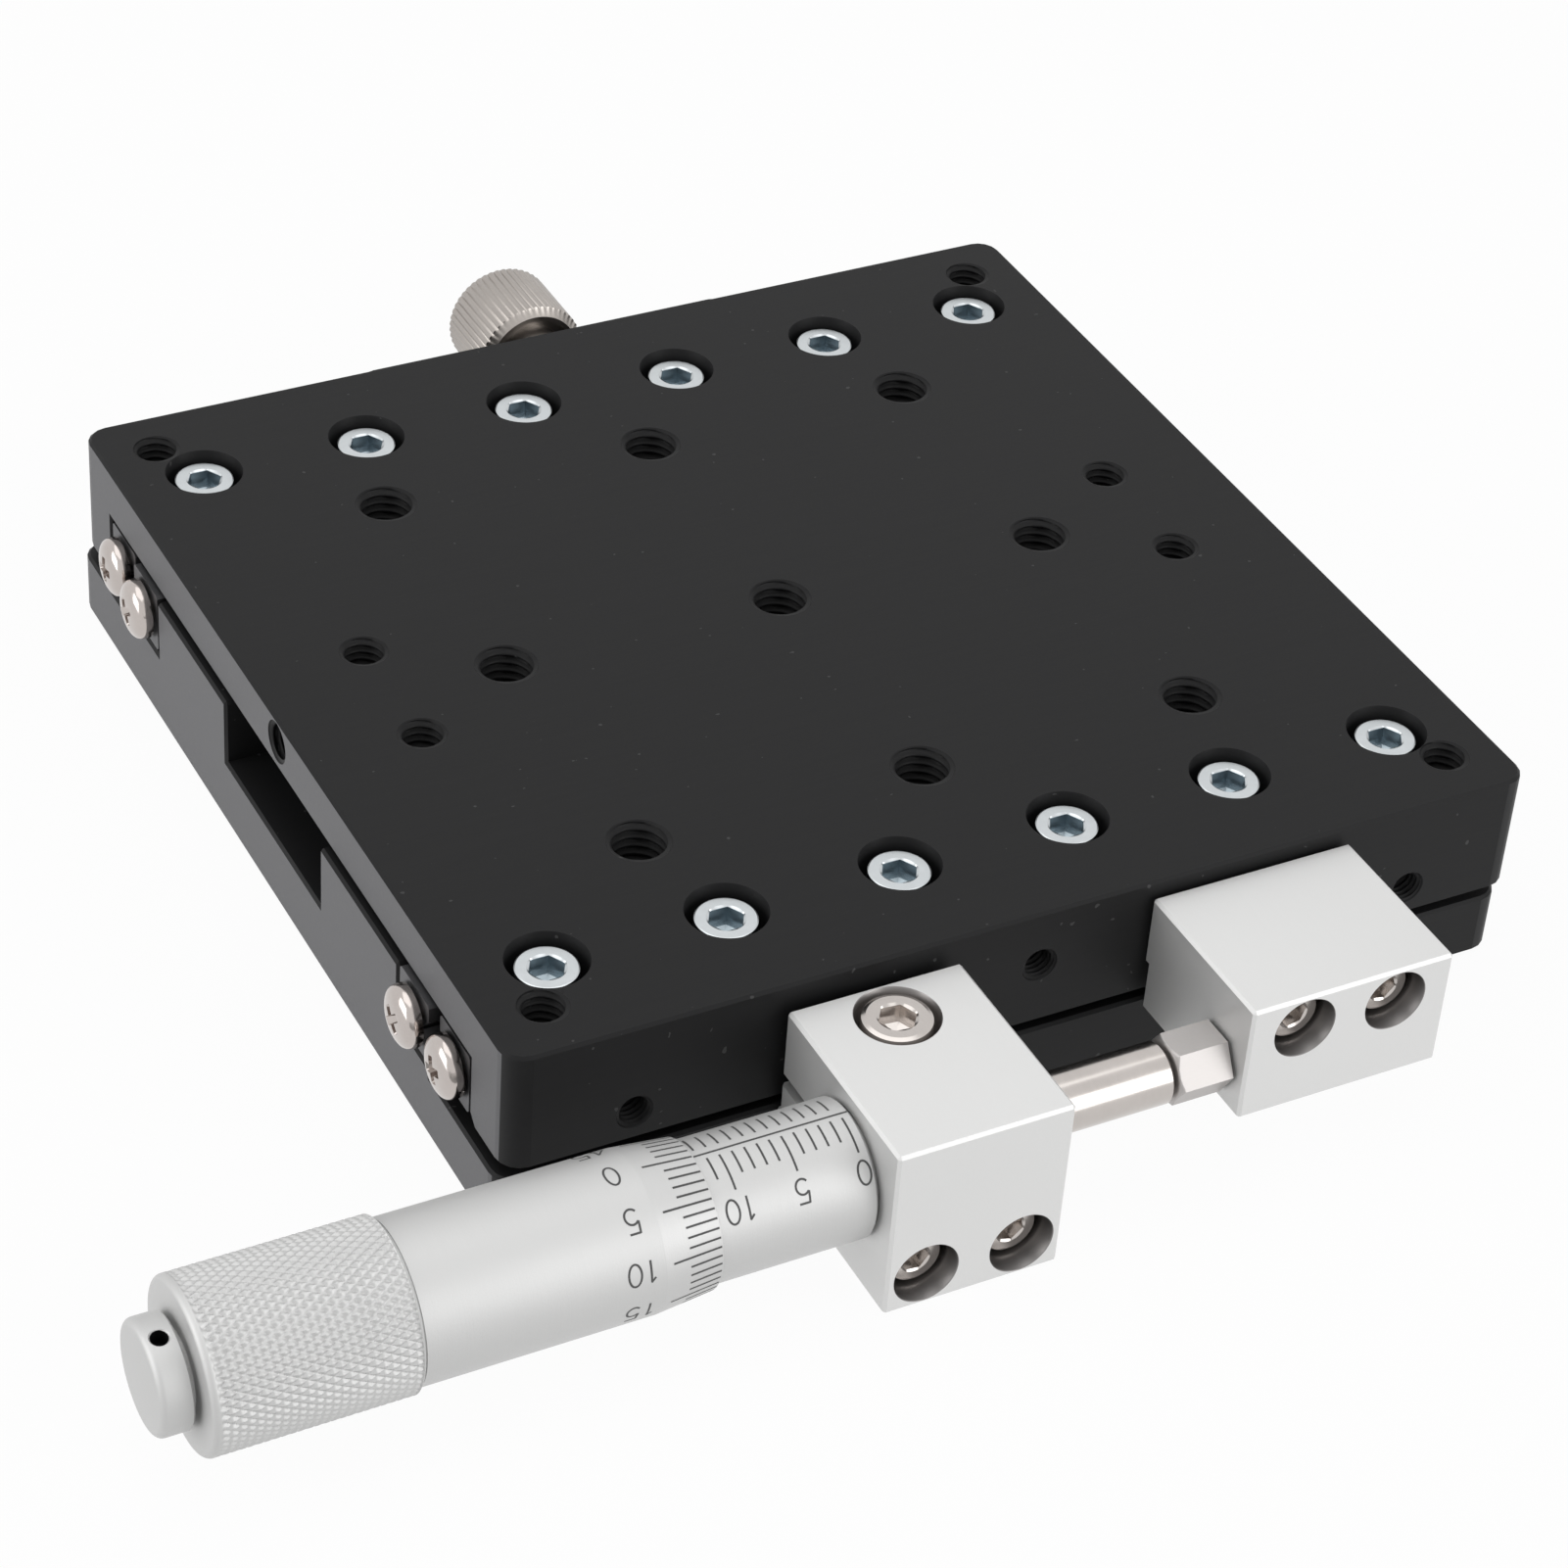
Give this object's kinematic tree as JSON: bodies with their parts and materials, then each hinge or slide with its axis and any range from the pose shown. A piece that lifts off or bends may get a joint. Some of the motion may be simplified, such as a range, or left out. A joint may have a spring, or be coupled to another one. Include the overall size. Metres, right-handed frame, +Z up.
{
  "type": "linear translation stage",
  "caption": "Square linear stage: a table on crossed-roller rails slides over its base, pushed by a side micrometer head against a spring and held by a lock knob.",
  "frame": {"origin": "centre of the base plate's underside", "axes": "+X along the travel, from the micrometer's grip towards the anvil block; +Y towards the back, where the lock knob is; +Z up"},
  "size_m": [0.125, 0.121, 0.0175],
  "materials": {
    "black_anodised": "matte black anodised",
    "satin_aluminium": "fine satin, clear anodised",
    "stainless_steel": "turned stainless",
    "zinc_plated_steel": "bluish zinc plate",
    "nickel_plated_steel": "polished nickel plate",
    "ground_steel": "ground",
    "cage_brass": "satin",
    "black_steel": "black oxide"
  },
  "bodies": {
    "root": {"base_plate": "black_anodised", "base_rail_front": "ground_steel", "base_rail_rear": "ground_steel", "base_rail_screw_01": "zinc_plated_steel", "base_rail_screw_02": "zinc_plated_steel", "base_rail_screw_03": "zinc_plated_steel", "base_rail_screw_04": "zinc_plated_steel", "base_rail_screw_05": "zinc_plated_steel", "base_rail_screw_06": "zinc_plated_steel", "base_rail_screw_07": "zinc_plated_steel", "base_rail_screw_08": "zinc_plated_steel", "base_rail_screw_09": "zinc_plated_steel", "base_rail_screw_10": "zinc_plated_steel", "base_rail_screw_11": "zinc_plated_steel", "base_rail_screw_12": "zinc_plated_steel", "base_rail_end_screw_left_front": "nickel_plated_steel", "base_rail_end_screw_left_rear": "nickel_plated_steel", "base_rail_end_screw_right_front": "nickel_plated_steel", "base_rail_end_screw_right_rear": "nickel_plated_steel", "micrometer_block": "satin_aluminium", "micrometer_block_screw_left": "stainless_steel", "micrometer_block_screw_right": "stainless_steel", "micrometer_clamp_screw": "stainless_steel", "micrometer_sleeve": "satin_aluminium", "lock_plate": "black_steel", "lock_plate_screw_left": "stainless_steel", "lock_plate_screw_right": "stainless_steel", "spring_post_base": "ground_steel", "return_spring": "ground_steel"},
    "table": {"table_plate": "black_anodised", "table_rail_front": "ground_steel", "table_rail_rear": "ground_steel", "table_rail_screw_01": "zinc_plated_steel", "table_rail_screw_02": "zinc_plated_steel", "table_rail_screw_03": "zinc_plated_steel", "table_rail_screw_04": "zinc_plated_steel", "table_rail_screw_05": "zinc_plated_steel", "table_rail_screw_06": "zinc_plated_steel", "table_rail_screw_07": "zinc_plated_steel", "table_rail_screw_08": "zinc_plated_steel", "table_rail_screw_09": "zinc_plated_steel", "table_rail_screw_10": "zinc_plated_steel", "table_rail_screw_11": "zinc_plated_steel", "table_rail_screw_12": "zinc_plated_steel", "table_rail_end_screw_left_front": "nickel_plated_steel", "table_rail_end_screw_left_rear": "nickel_plated_steel", "table_rail_end_screw_right_front": "nickel_plated_steel", "table_rail_end_screw_right_rear": "nickel_plated_steel", "anvil_block": "satin_aluminium", "anvil_block_screw_left": "stainless_steel", "anvil_block_screw_right": "stainless_steel", "anvil_screw": "stainless_steel", "spring_post_table": "ground_steel"},
    "cage_front": {"roller_cage_front": "cage_brass"},
    "cage_rear": {"roller_cage_rear": "cage_brass"},
    "spindle": {"micrometer_spindle": "stainless_steel"},
    "thimble": {"micrometer_thimble": "satin_aluminium", "micrometer_end_cap": "satin_aluminium"},
    "lock_knob": {"lock_knob": "stainless_steel"}
  },
  "joints": [
    {"name": "thimble_turn", "type": "hinge", "parent": "spindle", "child": "thimble", "pos_m": [-0.055, -0.0565, 0.0092], "axis": [1, 0, 0], "range_deg": [-9360.1, 8640.1]},
    {"name": "spindle_slide", "type": "slide", "parent": "root", "child": "spindle", "axis": [1, 0, 0], "range_m": [-0.013, 0.012]},
    {"name": "table_slide", "type": "slide", "parent": "root", "child": "table", "axis": [1, 0, 0], "range_m": [-0.013, 0.012], "deforming": ["return_spring"]},
    {"name": "cage_front_slide", "type": "slide", "parent": "root", "child": "cage_front", "axis": [1, 0, 0], "range_m": [-0.0065, 0.006]},
    {"name": "cage_rear_slide", "type": "slide", "parent": "root", "child": "cage_rear", "axis": [1, 0, 0], "range_m": [-0.0065, 0.006]},
    {"name": "lock_knob_turn", "type": "hinge", "parent": "table", "child": "lock_knob", "pos_m": [0.0005, 0.045, 0.0121], "axis": [0, 1, 0], "range_deg": [-150, 360]}
  ],
  "couplings": [
    {"joint": "thimble_turn", "follows": "table_slide", "rad_per_m": 12566},
    {"joint": "spindle_slide", "follows": "table_slide", "ratio": 1},
    {"joint": "cage_front_slide", "follows": "table_slide", "ratio": 0.5},
    {"joint": "cage_rear_slide", "follows": "table_slide", "ratio": 0.5}
  ]
}
